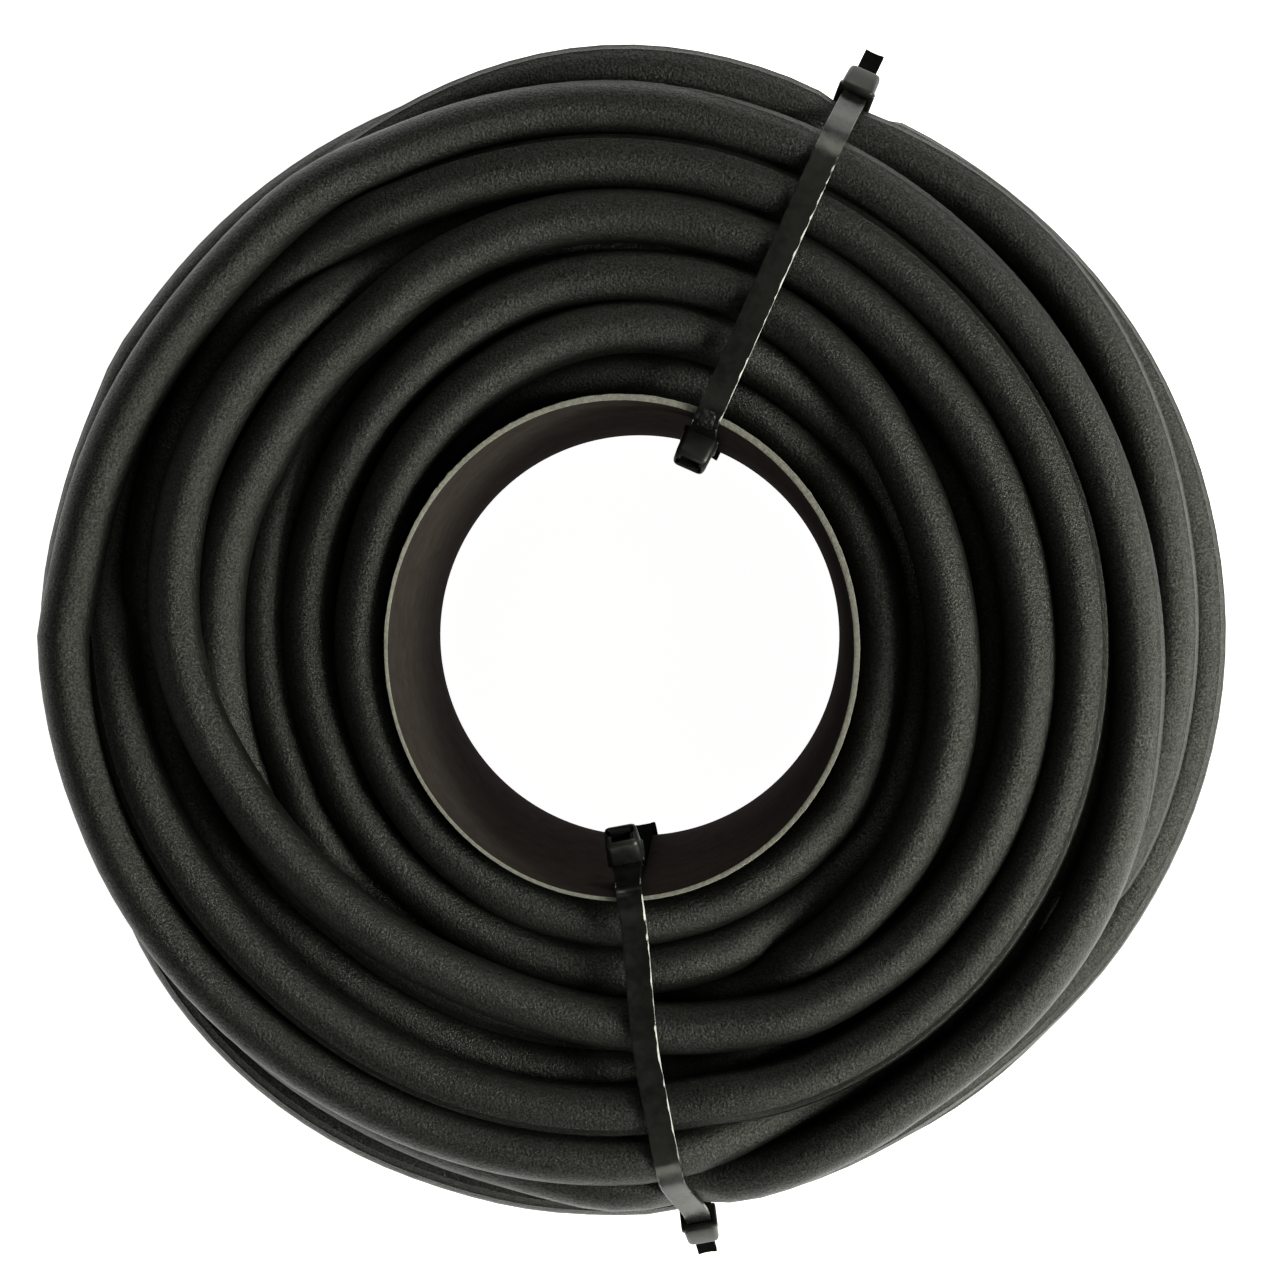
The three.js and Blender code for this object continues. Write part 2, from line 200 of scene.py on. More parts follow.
def make_world():
    """Soft light from all round, with a dark ceiling straight overhead."""
    world = bpy.data.worlds.new("world")
    world.use_nodes = True
    tree = world.node_tree
    place = tree.nodes.new("ShaderNodeTexCoord").outputs["Generated"]
    height = tree.nodes.new("ShaderNodeSeparateXYZ")
    ramp = tree.nodes.new("ShaderNodeValToRGB")
    tree.links.new(place, height.inputs[0])
    tree.links.new(height.outputs["Z"], ramp.inputs["Fac"])
    for _ in SKY[2:]:
        ramp.color_ramp.elements.new(0.5)
    for element, (position, tone) in zip(ramp.color_ramp.elements, SKY):
        element.position = position
        element.color = (tone, tone, tone, 1)
    tree.links.new(ramp.outputs["Color"], tree.nodes["Background"].inputs["Color"])
    return world


def make_stage():
    """A pale floor, a large soft key light from the right of the picture, and four weak ones."""
    bpy.ops.mesh.primitive_plane_add(size=FLOOR_SIZE)
    floor = bpy.context.object
    floor.name = "floor"
    floor.data.materials.append(floor_material())
    for name, (place, aim, size, power) in LIGHTS.items():
        area_light(name, place, aim, size, power)
    bpy.context.scene.world = make_world()
    bpy.context.scene.view_settings.view_transform = "Standard"


# ---------------------------------------------------------------- materials


class Material:
    """A node material, with short ways to add and join nodes."""

    def __init__(self, name):
        self.material = bpy.data.materials.new(name)
        self.material.use_nodes = True
        self.tree = self.material.node_tree
        self.shader = self.tree.nodes["Principled BSDF"]
        self.place = self.tree.nodes.new("ShaderNodeTexCoord").outputs["Object"]

    def feed(self, socket, value):
        """Joins a socket to another one, or gives it a plain value."""
        if isinstance(value, bpy.types.NodeSocket):
            self.tree.links.new(value, socket)
        else:
            socket.default_value = value

    def node(self, kind, inputs, **settings):
        node = self.tree.nodes.new(kind)
        for key, value in settings.items():
            setattr(node, key, value)
        for key, value in inputs.items():
            self.feed(node.inputs[key], value)
        return node

    def noise(self, scale, detail=3, roughness=0.6, where=None):
        """Noise from 0 to 1. scale is in features to a metre."""
        inputs = {"Vector": where or self.place, "Scale": scale, "Detail": detail, "Roughness": roughness}
        return self.node("ShaderNodeTexNoise", inputs).outputs["Fac"]

    def stretched(self, x, y, z):
        """The place, scaled by x, y and z, for textures that run along one way."""
        return self.node("ShaderNodeMapping", {"Vector": self.place, "Scale": (x, y, z)}).outputs["Vector"]

    def cells(self, scale, output="Distance"):
        """Round cells: the distance from the middle of each, or a random colour for each."""
        return self.node("ShaderNodeTexVoronoi", {"Vector": self.place, "Scale": scale}).outputs[output]

    def ramp(self, value, *stops):
        """stops are (position, value or colour)."""
        node = self.node("ShaderNodeValToRGB", {"Fac": value})
        elements = node.color_ramp.elements
        while len(elements) < len(stops):
            elements.new(0.5)
        for element, (position, colour) in zip(elements, stops):
            element.position = position
            if not isinstance(colour, tuple):
                colour = (colour, colour, colour)
            element.color = (*colour, 1)
        return node.outputs["Color"]

    def math(self, operation, a, b):
        return self.node("ShaderNodeMath", {0: a, 1: b}, operation=operation).outputs[0]

    def mix(self, amount, under, over):
        """The tone under where amount is 0, and the plain colour over where it is 1."""
        node = self.node("ShaderNodeMix", {}, data_type="RGBA")
        for socket, value in zip(node.inputs[:1] + node.inputs[6:8], (amount, under, (*over, 1))):
            self.feed(socket, value)
        return node.outputs[2]

    def bump(self, height, depth, strength):
        """depth is the real height of the relief in metres."""
        inputs = {"Height": height, "Distance": depth, "Strength": strength}
        return self.node("ShaderNodeBump", inputs).outputs["Normal"]

    def set(self, **values):
        """Gives the shader its values, and returns the finished material."""
        for key, value in values.items():
            self.feed(self.shader.inputs[key.replace("_", " ")], value)
        return self.material


def floor_material():
    m = Material("pale floor")
    return m.set(
        Base_Color=(0.85, 0.85, 0.85, 1), Roughness=0.9, Specular_IOR_Level=0.1,
        Emission_Color=(1, 1, 1, 1), Emission_Strength=0.97,
    )


def rubber_material():
    """Porous recycled rubber: a fine open grain, uneven dark tone and a few pale specks."""
    m = Material("porous rubber")
    grain = m.noise(1400, 4, 0.8)
    pores = m.cells(1000)
    lumps = m.noise(300, 3, 0.6)
    height = m.math("ADD", m.math("MULTIPLY", grain, 1.3), m.math("MULTIPLY", pores, 0.6))
    height = m.math("ADD", height, m.math("MULTIPLY", lumps, 0.5))
    tone = m.ramp(m.noise(38, 4, 0.65), (0.3, (0.003, 0.0032, 0.0028)), (0.7, (0.006, 0.0063, 0.0055)))
    tone = m.mix(m.ramp(grain, (0.55, 0.0), (0.75, 0.5)), tone, (0.016, 0.0175, 0.014))
    specks = m.ramp(m.cells(420, "Color"), (0.0, 0.0), (0.985, 0.0), (1.0, 1.0))
    near = m.ramp(m.cells(420), (0.0, 1.0), (0.16, 1.0), (0.22, 0.0))
    tone = m.mix(m.math("MULTIPLY", specks, near), tone, (0.3, 0.3, 0.26))
    rough = m.ramp(m.noise(120, 3, 0.6), (0.3, 0.33), (0.7, 0.43))
    shine = m.ramp(grain, (0.4, 0.16), (0.66, 0.75))
    bump = m.bump(height, 0.0004, 0.6)
    return m.set(Base_Color=tone, Roughness=rough, Specular_IOR_Level=shine, Normal=bump)


def nylon_material(name, low, high):
    """Black moulded nylon, slightly wavy, with a roughness that wanders from low to high."""
    m = Material(name)
    wavy = m.noise(110, 2, 0.5)
    fine = m.noise(1600, 2, 0.6)
    height = m.math("ADD", wavy, m.math("MULTIPLY", fine, 0.06))
    tone = m.ramp(m.noise(300, 3, 0.6), (0.35, (0.004, 0.004, 0.004)), (0.7, (0.009, 0.009, 0.0085)))
    rough = m.ramp(m.noise(240, 3, 0.6), (0.35, low), (0.7, high))
    bump = m.bump(height, 0.0003, 0.5)
    return m.set(Base_Color=tone, Roughness=rough, Specular_IOR_Level=0.55, Normal=bump)


def shaded_nylon_material():
    """The same nylon made darker and without any reflection, scratched along the tube: painted shade on
    the straps inside the tube and on the cut tails.
    """
    m = Material("dull nylon")
    scratches = m.noise(900, 3, 0.7, m.stretched(1, 1, 0.08))
    tone = m.ramp(scratches, (0.35, (0.003, 0.003, 0.003)), (0.7, (0.006, 0.006, 0.0055)))
    rough = m.ramp(scratches, (0.3, 0.5), (0.7, 0.68))
    bump = m.bump(scratches, 0.0002, 0.4)
    return m.set(Base_Color=tone, Roughness=rough, Specular_IOR_Level=0.0, Normal=bump)


def core_material():
    """Dark grey-brown extruded plastic, with faint lines along the tube and light scuffs."""
    m = Material("grey plastic")
    lines = m.noise(500, 2, 0.6, m.stretched(1, 1, 0.03))
    scuffs = m.noise(160, 5, 0.7)
    tone = m.ramp(scuffs, (0.3, (0.027, 0.0225, 0.021)), (0.75, (0.042, 0.035, 0.033)))
    height = m.math("ADD", m.math("MULTIPLY", lines, 0.6), m.math("MULTIPLY", scuffs, 0.3))
    rough = m.ramp(m.noise(90, 3, 0.6), (0.3, 0.5), (0.7, 0.62))
    bump = m.bump(height, 0.0002, 0.35)
    return m.set(Base_Color=tone, Roughness=rough, Specular_IOR_Level=0.0, Normal=bump)


def sawn_material():
    """The tube's sawn rim: paler, with saw marks and torn fibres of plastic."""
    m = Material("sawn plastic")
    marks = m.noise(700, 4, 0.75)
    tone = m.ramp(marks, (0.3, (0.13, 0.126, 0.112)), (0.7, (0.27, 0.262, 0.236)))
    return m.set(Base_Color=tone, Roughness=0.75, Normal=m.bump(marks, 0.0004, 0.8))


# ---------------------------------------------------------------- mesh helpers


def make_piece(name, points, faces, materials, face_materials=None, sharp=None):
    """A mesh piece from points in mm about the core's axis. sharp is the angle that stays an edge."""
    mesh = bpy.data.meshes.new(name)
    points = (np.asarray(points, float) + AXIS) * MM
    mesh.from_pydata(points.tolist(), [], [list(map(int, face)) for face in faces])
    for material in materials:
        mesh.materials.append(material)
    if face_materials is not None:
        mesh.polygons.foreach_set("material_index", np.asarray(face_materials, np.int32))
    mesh.shade_smooth()
    if sharp is not None:
        mesh.set_sharp_from_angle(angle=math.radians(sharp))
    piece = bpy.data.objects.new(name, mesh)
    bpy.context.scene.collection.objects.link(piece)
    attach(piece, "coil")
    return piece


def tube_faces(rings, around, first=0):
    """Quads between rings of points, each ring closed on itself."""
    i = first + np.arange(rings - 1)[:, None] * around + np.arange(around)[None, :]
    j = first + np.arange(rings - 1)[:, None] * around + (np.arange(around)[None, :] + 1) % around
    return np.stack([i, j, j + around, i + around], -1).reshape(-1, 4)


def ring_faces(ring_a, ring_b):
    """Quads between two closed rings, given as lists of point numbers."""
    n = len(ring_a)
    return [[ring_a[k], ring_a[(k + 1) % n], ring_b[(k + 1) % n], ring_b[k]] for k in range(n)]


# ---------------------------------------------------------------- the hose's route

SLICE = 3  # degrees between the points along the hose
CONTACT = HOSE - 0.7  # two turns that touch flatten each other a little
TIE_BITE = 2.6  # how far a strap may sink into the hose
PINNED, LAID, HIDDEN = 1.0, 0.3, 0.02  # how firmly a point is held to its place in the route
SEEN_DEPTH, SEEN_RADIUS = 13.5, 170  # a turn less deep, or farther out, is pinned
GIVE = (0.12, 0.35, 1.0)  # how far the turns beside it move a pinned, a laid and a hidden point
PULL = (0.25, 0.06, 0.004)  # how strongly each goes back to its place
ROUNDS = 420  # of pressing the turns apart
WANDER = 9  # how unevenly the hidden turns are laid
HIDDEN_DEPTH = 13  # the hidden turns stay this far under the top layer
HOSE_LOW = HOSE / 2 + 0.2  # height of the two ends
INNER_END, INNER_FREE = 170, 122  # azimuths between which the inner end lies still on the ground
OUTER_FREE, OUTER_LIE = 205, 42  # azimuth from which the outer end lies still, and for how far
INNERMOST = 84  # radius of the column beside the core
INNER_TOP = -1840  # azimuth at which that column ends under the top turns
LOWEST, HIGHEST = 8, 92  # heights between which a hidden column runs
COLUMNS = (166, 149.5, 133)  # radii of the hidden columns, in the order that they are laid
INSIDE, OUTSIDE = 100, 116.5  # radii of the two columns that rise together
COLUMN_SHIFT = 240  # degrees in which the hose moves over to the next column


class Route:
    """Points on the way of the hose: azimuth, always falling, then radius, height and hold."""

    def __init__(self):
        self.points = []

    def go(self, azimuth, radius, height, hold=HIDDEN):
        self.points.append((azimuth, radius, height, hold))

    def azimuth(self):
        return self.points[-1][0]

    def follow(self, run):
        """Lays a run of top turns, each point where its azimuth next comes round."""
        for azimuth, radius, depth in run:
            turns = math.floor((self.azimuth() - 1 - azimuth) / 360)
            hold = PINNED if depth < SEEN_DEPTH or radius > SEEN_RADIUS else LAID
            self.go(azimuth + 360 * turns, radius, TOP_LAYER - depth, hold)

    def column(self, radius, start, end):
        """Moves over to a radius, then climbs or sinks one diameter a turn."""
        self.go(self.azimuth() - COLUMN_SHIFT, radius, start)
        self.go(self.azimuth() - 360 * abs(end - start) / HOSE, radius, end)


def lay_route():
    """The hose from its inner end, up and down in columns under the two runs of top turns."""
    route = Route()
    route.go(INNER_END, INNERMOST, HOSE_LOW, PINNED)
    route.go(INNER_FREE, INNERMOST, HOSE_LOW, PINNED)
    route.go(INNER_TOP, INNERMOST, 96)
    route.follow(FIRST_RUN)
    route.column(COLUMNS[0], HIGHEST, LOWEST)
    route.column(COLUMNS[1], LOWEST, HIGHEST)
    route.column(COLUMNS[2], HIGHEST - 2, LOWEST)
    route.go(route.azimuth() - 260, OUTSIDE, LOWEST)
    for level in range(6):  # two turns side by side on each level, changing places at every step up
        height = LOWEST + level * (HOSE + 0.2)
        pair = (OUTSIDE, INSIDE) if level % 2 == 0 else (INSIDE, OUTSIDE)
        for radius in pair:
            route.go(route.azimuth() - 110, radius, height)
            route.go(route.azimuth() - 250, radius, height)
    route.go(route.azimuth() - 100, OUTSIDE, 96)
    route.follow(SECOND_RUN)
    last = route.azimuth()
    route.go(last - 110, 166, 94)
    route.go(last - 210, 174, 82)
    route.go(last - 300, 181, 76)
    route.go(last - 300 - 360 * 50 / HOSE, 179, 26)
    end = OUTER_FREE - 360 * math.ceil((OUTER_FREE - route.azimuth() + 260) / 360)
    for part in np.linspace(0, 1, 7):  # the end straightens, so it moves outwards
        route.go(end - OUTER_LIE * part, 170 + 11 * part**2, HOSE_LOW, PINNED)
    return np.array(route.points)


def ease(value, start, end):
    """0 up to start, 1 from end on, and smooth between them."""
    t = np.clip((value - start) / (end - start), 0, 1)
    return t * t * (3 - 2 * t)


def smooth(values, width):
    """Values evened out over their neighbours, by a bell of that width."""
    span = np.arange(-3 * width, 3 * width + 1)
    weights = np.exp(-(span**2) / (2 * width**2))
    return np.convolve(np.pad(values, 3 * width, mode="edge"), weights / weights.sum(), mode="valid")


def core_radius(azimuth, height):
    """The core's outside, which grows oval towards its top."""
    t = np.clip(height / CORE_TOP, 0, 1)
    rx, ry = (CORE_RADIUS * (1 + (oval - 1) * t) for oval in CORE_OVAL)
    return 1 / np.hypot(np.cos(azimuth) / rx, np.sin(azimuth) / ry)


def sideways(loop, out, height):
    """How far a loop's straps run to one side of its plane, at a distance out and a height."""
    share = ease(out, *BOW_RISE) * (1 - ease(out, *BOW_FALL))
    return loop["bow"] * share * (height > BOW_ABOVE)


def nearest(line, spots):
    """The nearest point of a loop's line to each spot, its distance, and which stretch it is on."""
    a, b = line[:-1], line[1:]
    along = np.clip(((spots[:, None] - a) * (b - a)).sum(-1) / ((b - a) ** 2).sum(-1), 0, 1)
    foot = a + along[..., None] * (b - a)
    away = np.linalg.norm(spots[:, None] - foot, axis=-1)
    best = away.argmin(1)
    rows = np.arange(len(spots))
    return foot[rows, best], away[rows, best], best


def press_in_ties(azimuth, radius, height, free):
    """Keeps the turns inside the tie loops, by the distance from each strap's middle line."""
    clear = HOSE / 2 + STRAP_THICKNESS / 2 - TIE_BITE
    for loop in LOOPS.values():
        angle = math.radians(loop["angle"])
        out = radius * np.cos(azimuth - angle)
        side = radius * np.sin(azimuth - angle) - loop["offset"] - sideways(loop, out, height)
        near = np.flatnonzero((np.abs(side) < STRAP_WIDTH / 2 + 2) & (out > 0) & free)
        spots = np.stack([out[near], height[near]], -1)
        foot, away, _ = nearest(loop["line"], spots)
        inwards = BUNDLE_MIDDLE - foot
        inwards[foot[:, 0] < CORE_RADIUS + 1] = (1, 0)
        inwards /= np.linalg.norm(inwards, axis=1)[:, None]
        depth = ((spots - foot) * inwards).sum(-1)
        push = np.where(depth < clear, np.minimum(clear - depth, 2.0), 0) * (away < clear + 2)
        radius[near] += push * inwards[:, 0] * 0.7
        height[near] += push * inwards[:, 1] * 0.7


def settle(route):
    """Spreads points along the route, and presses apart the turns that lie in each other.

    All the turns cross the same upright slices, so a contact is two discs of a slice that overlap.
    """
    azimuth = np.arange(route[0, 0], route[-1, 0] - 1e-6, -SLICE)
    radius, height, hold = (np.interp(-azimuth, -route[:, 0], column) for column in route.T[1:])
    count = len(azimuth)
    held = hold > LAID - 0.1
    radius = np.where(held, smooth(radius, 2), smooth(radius, 4))
    height = np.where(held, smooth(height, 2), smooth(height, 4))
    angle = np.radians(azimuth)
    radius += smooth(RNG.normal(size=count), 14) * WANDER * ~held
    home_radius, home_height = radius.copy(), height.copy()
    fixed = (azimuth > INNER_FREE) | (azimuth < azimuth[-1] + OUTER_LIE)
    firm = [hold >= PINNED, hold >= LAID]
    give = np.select(firm, GIVE[:2], GIVE[2]) * ~fixed
    pull = np.select(firm, PULL[:2], PULL[2]) * ~fixed
    per_turn = 360 // SLICE
    turns = -(-count // per_turn)
    index = np.arange(turns * per_turn).reshape(turns, per_turn).T
    one, other = (index[:, pick].ravel() for pick in np.triu_indices(turns, 1))
    real = (one < count) & (other < count)
    one, other = one[real], other[real]
    for done in range(ROUNDS):
        if done % 20 == 0:  # the pairs that may touch in the next rounds
            apart = np.hypot(radius[one] - radius[other], height[one] - height[other])
            near = apart < HOSE * 1.6
            a, b = one[near], other[near]
        for values, home in ((radius, home_radius), (height, home_height)):
            stiff = np.zeros(count)
            fair = (-values[:-4] + 4 * values[1:-3] + 4 * values[3:-1] - values[4:]) / 6
            stiff[2:-2] = fair - values[2:-2]
            values += 0.5 * stiff * np.minimum(give * 3, 1)
            even = np.zeros(count)
            even[1:-1] = (values[:-2] + values[2:]) / 2 - values[1:-1]
            values += 0.3 * even * give + pull * (home - values)
        for _ in range(3):
            dr, dz = radius[b] - radius[a], height[b] - height[a]
            gap = np.hypot(dr, dz)
            touch = gap < CONTACT
            ta, tb = a[touch], b[touch]
            push = (CONTACT - gap[touch]) / gap[touch] * 0.6
            share = give[ta] + give[tb] + 1e-9
            for values, step in ((radius, dr[touch] * push), (height, dz[touch] * push)):
                values -= np.bincount(ta, step * give[ta] / share, count)
                values += np.bincount(tb, step * give[tb] / share, count)
            inner = core_radius(angle, height) + HOSE / 2
            radius += np.where((radius < inner) & ~fixed, (inner - radius) * 0.8, 0)
            height += np.maximum(HOSE / 2 - height, 0) * 0.8
            outer = np.interp(height, BUNDLE_HEIGHTS, BUNDLE_RADII)
            loose = (hold < LAID - 0.1) & ~fixed
            radius -= np.where(loose, np.maximum(radius - outer, 0) * 0.5, 0)
            height -= np.where(loose, np.maximum(height - TOP_LAYER + HIDDEN_DEPTH, 0) * 0.3, 0)
        press_in_ties(angle, radius, height, ~fixed)
    return angle, radius, height


def spline(points, step):
    """A centripetal Catmull-Rom curve through points, then points on it about step apart."""
    points = np.asarray(points, float)
    points = np.vstack([2 * points[0] - points[1], points, 2 * points[-1] - points[-2]])
    fine = []
    for p0, p1, p2, p3 in zip(points, points[1:], points[2:], points[3:]):
        t01, t12, t23 = (np.linalg.norm(q - p) ** 0.5 for p, q in ((p0, p1), (p1, p2), (p2, p3)))
        m1 = (p1 - p0) / t01 - (p2 - p0) / (t01 + t12) + (p2 - p1) / t12
        m2 = (p2 - p1) / t12 - (p3 - p1) / (t12 + t23) + (p3 - p2) / t23
        t = np.linspace(0, 1, max(2, int(np.linalg.norm(p2 - p1) / 0.1)), endpoint=False)[:, None]
        m1, m2 = m1 * t12, m2 * t12
        fine.append(
            (2 * t**3 - 3 * t**2 + 1) * p1 + (t**3 - 2 * t**2 + t) * m1
            + (3 * t**2 - 2 * t**3) * p2 + (t**3 - t**2) * m2
        )
    fine = np.vstack([*fine, points[-2:-1]])
    length = np.concatenate([[0], np.cumsum(np.linalg.norm(np.diff(fine, axis=0), axis=1))])
    at = np.linspace(0, length[-1], max(2, int(round(length[-1] / step)) + 1))
    return np.stack([np.interp(at, length, fine[:, k]) for k in range(points.shape[1])], -1)


# ---------------------------------------------------------------- the hose's mesh

SIDES = 36
RIDGES = (0.42, 0.78)  # section angles of the fine raised lines that the extruder leaves
RIDGE_HEIGHT, RIDGE_HALF_WIDTH = 0.22, 0.06  # in mm and in radians
SWELL, LOBE = 0.16, 0.06  # how uneven the hose is along its length and round its section
GROUND_GAP = 0.05  # the lowest turns are flattened so far above the ground
DENT_REACH, DENT_EASE = 5, 4.6  # how far a strap's dent runs past its edges, and how wide it fades
DENT_GAP, DENT_DEEPEST = 0.05, 7  # between the strap and the hose, and the most that it is dented
BORE_POINTS = 9  # slices that the open bore at each cut end runs through


def section_angles():
    """Angles round the hose's section, with three close together on each raised line."""
    even = np.arange(SIDES) * 2 * math.pi / SIDES
    angles = [angle for angle in even if all(abs(angle - ridge) > 0.1 for ridge in RIDGES)]
    for ridge in RIDGES:
        angles += [ridge - RIDGE_HALF_WIDTH, ridge, ridge + RIDGE_HALF_WIDTH]
    return np.array(sorted(angles))


def dent_under_ties(points):
    """Presses the hose's surface in where a strap lies on it, and leaves the rest round."""
    for loop in LOOPS.values():
        angle = math.radians(loop["angle"])
        out = points[:, 0] * math.cos(angle) + points[:, 1] * math.sin(angle)
        side = points[:, 1] * math.cos(angle) - points[:, 0] * math.sin(angle) - loop["offset"]
        side -= sideways(loop, out, points[:, 2])
        reach = STRAP_WIDTH / 2 + DENT_REACH - np.abs(side)
        near = np.flatnonzero((reach > 0) & (out > CORE_RADIUS - 1))
        spots = np.stack([out[near], points[near, 2]], -1)
        foot, _, best = nearest(loop["line"], spots)
        step = np.diff(loop["line"], axis=0)[best]
        step /= np.linalg.norm(step, axis=1)[:, None]
        inwards = np.stack([step[:, 1], -step[:, 0]], -1)
        depth = ((spots - foot) * inwards).sum(-1)
        share = ease(reach[near], 0, DENT_EASE)
        push = np.clip(STRAP_THICKNESS / 2 + DENT_GAP - depth, 0, DENT_DEEPEST) * share
        points[near, 0] += push * inwards[:, 0] * math.cos(angle)
        points[near, 1] += push * inwards[:, 0] * math.sin(angle)
        points[near, 2] += push * inwards[:, 1]
    return points


def hose_surface(line, angle, spin, size):
    """Rings of points about the hose's middle line, at section angles spin and distances size."""
    tangent = np.gradient(line, axis=0)
    tangent /= np.linalg.norm(tangent, axis=1)[:, None]
    outwards = np.stack([np.cos(angle), np.sin(angle), np.zeros_like(angle)], -1)
    outwards -= (outwards * tangent).sum(1)[:, None] * tangent
    outwards /= np.linalg.norm(outwards, axis=1)[:, None]
    upwards = np.cross(outwards, tangent)
    upwards *= np.sign(upwards[:, 2])[:, None]
    spokes = np.cos(spin)[..., None] * outwards[:, None] + np.sin(spin)[..., None] * upwards[:, None]
    return line[:, None] + size[..., None] * spokes


def make_hose():
    """The whole hose: a tube with two raised lines, dented by the ties, and a bore at each cut end."""
    angle, radius, height = settle(lay_route())
    line = np.stack([radius * np.cos(angle), radius * np.sin(angle), height], -1)
    count = len(line)
    # A stretch of one turn on top lies untwisted, with its raised lines along the top.
    on_top = (height > 119.5) & (radius > 153) & (radius < 164.5) & (np.cos(angle - 0.6) > 0.75)
    twist = smooth(RNG.normal(size=count), 60) * 9 * (1 - ease(smooth(on_top * 1.0, 5), 0, 0.5))
    section = section_angles()
    raised = RIDGE_HEIGHT * np.isin(section, RIDGES)
    swell = smooth(RNG.normal(size=count), 4) * SWELL
    spin = section[None, :] + twist[:, None]
    lobes = LOBE * np.cos(2 * spin + smooth(RNG.normal(size=count), 20)[:, None] * 12)
    size = HOSE / 2 + raised[None, :] + swell[:, None] + lobes
    sides = len(section)
    skin = dent_under_ties(hose_surface(line, angle, spin, size).reshape(-1, 3))
    skin[:, 2] = np.maximum(skin[:, 2], GROUND_GAP)
    bores = hose_surface(line, angle, spin, np.full_like(size, HOSE_BORE / 2))
    points = [skin]
    faces = [tube_faces(count, sides)]
    total = count * sides
    for end, inwards in ((0, 1), (count - 1, -1)):
        picked = end + inwards * np.arange(BORE_POINTS)
        points += [bores[picked].reshape(-1, 3), line[picked[-1:]]]
        outer = np.arange(end * sides, (end + 1) * sides)
        rim = np.array(ring_faces(outer, total + np.arange(sides)))
        last = total + (BORE_POINTS - 1) * sides
        centre = last + sides
        cap = np.array([[last + k, last + (k + 1) % sides, centre, centre] for k in range(sides)])
        if inwards > 0:
            rim = rim[:, ::-1]
        else:
            cap = cap[:, [1, 0, 2, 3]]
        faces += [tube_faces(BORE_POINTS, sides, total), rim, cap]
        total = centre + 1
    faces = [list(dict.fromkeys(face)) for face in np.vstack(faces).tolist()]
    hose = make_piece("hose", np.vstack(points), faces, [rubber_material()], sharp=50)
    fix_normals(hose)
    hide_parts("hose_coil", "hose_outer_end", "hose_inner_end")


def fix_normals(piece):
    """Turns all faces of a closed piece outwards."""
    mesh = bmesh.new()
    mesh.from_mesh(piece.data)
    bmesh.ops.recalc_face_normals(mesh, faces=mesh.faces)
    mesh.to_mesh(piece.data)
    mesh.free()


# ---------------------------------------------------------------- the core tube

THICK_SIDE = 40  # azimuth at which the wall is thickest
BURR_SIDE = 110  # azimuth at which the saw came out and left the most burr
BURR, RAGGED = 0.3, 0.2  # how far the rim's edges stand out, and how far its face goes up and down
SAWN_ROWS = {1, 2, 3, 4, 7, 8, 9}  # the rows of make_core after which a sawn band follows
CORE_SIDES = 480


def make_core():
    """A thin tube pulled oval at its top, with a ragged sawn rim there and a plain one below."""
    around = CORE_SIDES
    angle = np.arange(around) * 2 * math.pi / around
    outer = CORE_RADIUS
    inner = outer - CORE_WALL - CORE_UNEVEN * np.cos(angle - math.radians(THICK_SIDE))
    rough = 0.25 + 0.75 * np.clip(np.cos(angle - math.radians(BURR_SIDE)), 0, 1)
    burr = np.abs(smooth(RNG.normal(size=around * 3), 1)[:around]) * BURR * rough
    ragged = smooth(RNG.normal(size=around * 3), 3)[:around] * RAGGED * rough
    zero = np.zeros(around)
    rows = [  # radius, height, then how far the ragged edge moves each
        (inner, CORE_TOP - 0.5, zero, zero),
        (inner, CORE_TOP - 0.12, -0.2 * burr, zero),
        (inner + 0.2, CORE_TOP, -0.3 * burr, 0.5 * ragged),
        (inner + 0.7 * CORE_WALL, CORE_TOP, zero, ragged),
        (outer - 0.15, CORE_TOP, 0.5 * burr, 0.6 * burr + ragged),
        (outer, CORE_TOP - 0.2, 0.9 * burr, zero),
        (outer, CORE_TOP - 0.7, zero, zero),
        (outer, CORE_BOTTOM + 0.4, zero, zero),
        (outer - 0.3, CORE_BOTTOM, zero, zero),
        (inner + 0.3, CORE_BOTTOM, zero, zero),
        (inner, CORE_BOTTOM + 0.4, zero, zero),
    ]
    levels = np.linspace(CORE_BOTTOM + 0.4, CORE_TOP - 0.5, 14)[1:-1]
    rows += [(inner, level, zero, zero) for level in levels]
    points = []
    for radius, height, out, up in rows:
        z = height + up
        t = np.clip(z / CORE_TOP, 0, 1)
        x = (radius + out) * (1 + (CORE_OVAL[0] - 1) * t) * np.cos(angle)
        y = (radius + out) * (1 + (CORE_OVAL[1] - 1) * t) * np.sin(angle)
        points.append(np.stack([x, y, z], -1))
    faces, materials = [], []
    for k in range(len(rows)):
        low, high = k * around, (k + 1) % len(rows) * around
        faces += ring_faces(low + np.arange(around), high + np.arange(around))
        materials += [1 if k in SAWN_ROWS else 0] * around
    core = make_piece(
        "core", np.vstack(points), faces, [core_material(), sawn_material()],
        face_materials=materials, sharp=40,
    )
    fix_normals(core)
    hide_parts("core_tube")


# ---------------------------------------------------------------- the ties

